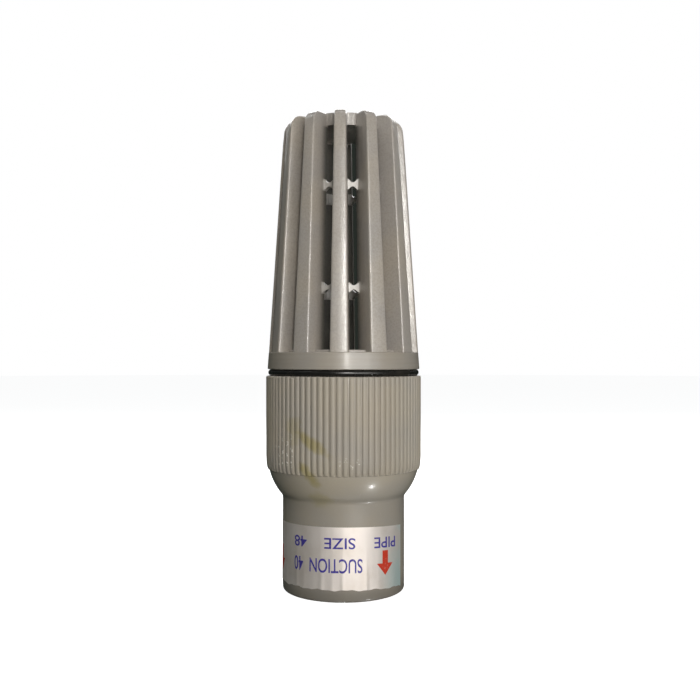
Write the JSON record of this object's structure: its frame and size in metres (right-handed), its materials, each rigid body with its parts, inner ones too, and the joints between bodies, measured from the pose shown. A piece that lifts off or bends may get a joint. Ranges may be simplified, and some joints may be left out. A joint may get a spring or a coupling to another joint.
{
  "type": "foot valve",
  "caption": "Spring-loaded plastic foot valve: a pipe socket, a ridged grip and a screw-on ribbed strainer. It lets water up a suction pipe and shuts to keep the pipe full.",
  "frame": {"origin": "centre of the pipe socket's mouth, on its end face", "axes": "+Z along the valve's axis, from the pipe socket towards the strainer's tip; -Y is the front, with the middle of the label a little to the left of it; in service +Z points down the well"},
  "size_m": [0.0726, 0.0726, 0.2185],
  "materials": {
    "grey_pvc_body": "satin",
    "grey_pvc_cage": "pebbled",
    "grey_pvc_turned": "turned",
    "grey_pvc_trim": "as moulded",
    "black_rubber": "smooth",
    "stainless": "turned",
    "spring_steel": "drawn wire",
    "label_foil": "printed foil"
  },
  "bodies": {
    "valve_body": {"valve_body": "grey_pvc_body", "body_label": "label_foil", "guide_spider": "grey_pvc_trim", "return_spring": "spring_steel"},
    "seal": {"collar_o_ring": "black_rubber"},
    "strainer": {"strainer_collar": "grey_pvc_turned", "strainer_cage": "grey_pvc_cage", "seat_ring": "grey_pvc_turned", "seat_o_ring": "black_rubber"},
    "poppet": {"poppet_disc": "grey_pvc_trim", "poppet_gasket": "black_rubber", "gasket_retainer": "stainless", "stem_nut": "stainless", "guide_stem": "stainless", "stem_clip": "spring_steel"}
  },
  "joints": [
    {"name": "strainer_lift", "type": "slide", "parent": "valve_body", "child": "seal", "axis": [0, 0, 1], "range_m": [0, 0.0128]},
    {"name": "strainer_turn", "type": "hinge", "parent": "seal", "child": "strainer", "pos_m": [0, 0, 0.1], "axis": [0, 0, 1], "range_deg": [0, 1530]},
    {"name": "poppet_lift", "type": "slide", "parent": "valve_body", "child": "poppet", "axis": [0, 0, -1], "range_m": [0, 0.0105], "stiffness_N_per_m": 150, "springref_m": -0.01, "deforming": ["return_spring"]}
  ],
  "couplings": [
    {"joint": "strainer_lift", "follows": "strainer_turn", "m_per_rad": 0.00047746}
  ]
}
